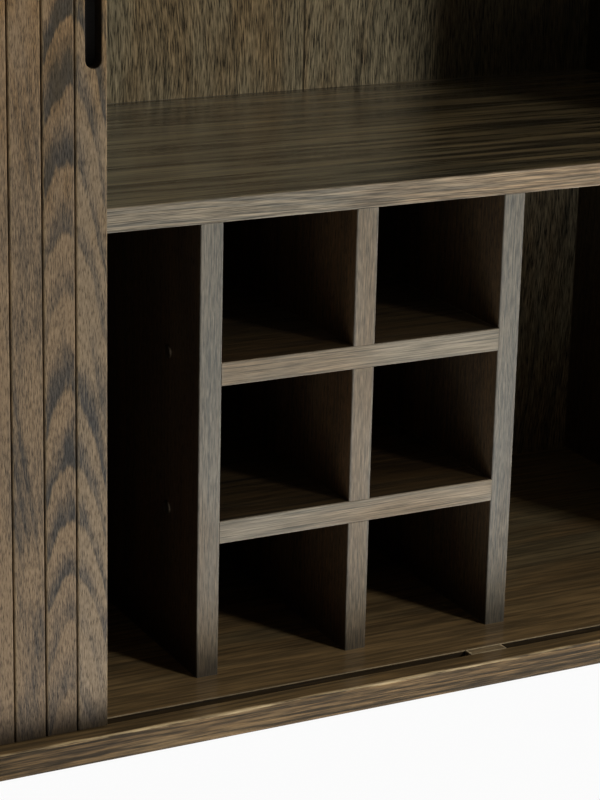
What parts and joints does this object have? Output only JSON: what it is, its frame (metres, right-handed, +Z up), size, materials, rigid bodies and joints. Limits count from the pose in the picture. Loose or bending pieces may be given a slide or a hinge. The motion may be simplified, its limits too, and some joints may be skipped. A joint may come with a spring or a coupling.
{
  "type": "wine cabinet",
  "caption": "Free-standing dark oak wine cabinet on tapered legs, with a bottle rack and shelves behind slatted doors that slide along a track.",
  "frame": {"origin": "on the floor, under the middle of the cabinet's outline", "axes": "+X along the front to the right, +Y to the back, +Z up; the open front faces -Y"},
  "size_m": [1.3682, 0.44, 1.306],
  "materials": {
    "oak_deck": "smoked oak, matt oiled, open grain",
    "oak_shelf": "smoked oak, matt oiled, open grain",
    "oak_rack_level": "smoked oak, matt oiled, open grain",
    "oak_rack_upright": "smoked oak, matt oiled, open grain",
    "oak_side": "smoked oak, matt oiled, open grain",
    "oak_back": "smoked oak, matt oiled, open grain",
    "oak_batten": "smoked oak, matt oiled, open grain",
    "oak_slat": "smoked oak, matt oiled, open grain",
    "oak_leg": "smoked oak, matt oiled, open grain",
    "oak_stop": "smoked oak, matt oiled, open grain",
    "backing_canvas": "dark woven backing cloth",
    "steel": "zinc-plated steel",
    "screw_cap": "bronzed steel screw with a flat cap",
    "black_plate": "black powder coat",
    "glide_plastic": "black nylon",
    "bumper_rubber": "soft black rubber",
    "dowel_beech": "plain beech"
  },
  "bodies": {
    "carcase": {"bottom_panel": "oak_deck", "top_panel": "oak_deck", "wine_shelf": "oak_shelf", "upper_shelf": "oak_shelf", "left_lower_shelf": "oak_shelf", "left_upper_shelf": "oak_shelf", "right_lower_shelf": "oak_shelf", "right_upper_shelf": "oak_shelf", "rack_level_1": "oak_rack_level", "rack_level_2": "oak_rack_level", "rack_left_upright": "oak_rack_upright", "rack_right_upright": "oak_rack_upright", "rack_divider_1": "oak_rack_upright", "left_side": "oak_side", "right_side": "oak_side", "left_partition": "oak_side", "right_partition": "oak_side", "back_leaf_left": "oak_back", "back_leaf_right": "oak_back", "back_batten": "oak_batten", "front_left_leg": "oak_leg", "front_right_leg": "oak_leg", "rear_left_leg": "oak_leg", "rear_right_leg": "oak_leg", "lower_track_stop": "oak_stop", "upper_track_stop": "oak_stop", "shelf_pins": "steel", "back_screws": "steel", "leg_screws": "steel", "leg_studs": "steel", "rack_screws": "screw_cap", "leg_plates": "black_plate", "foot_glides": "glide_plastic", "door_bumpers": "bumper_rubber", "carcase_dowels": "dowel_beech"},
    "left_door": {"left_handle_slat": "oak_slat", "left_slats": "oak_slat", "left_backing": "backing_canvas"},
    "right_door": {"right_handle_slat": "oak_slat", "right_slats": "oak_slat", "right_backing": "backing_canvas"}
  },
  "joints": [
    {"name": "left_door_slide", "type": "slide", "parent": "carcase", "child": "left_door", "axis": [1, 0, 0], "range_m": [0, 0.325]},
    {"name": "right_door_slide", "type": "slide", "parent": "carcase", "child": "right_door", "axis": [-1, 0, 0], "range_m": [0, 0.325]}
  ]
}
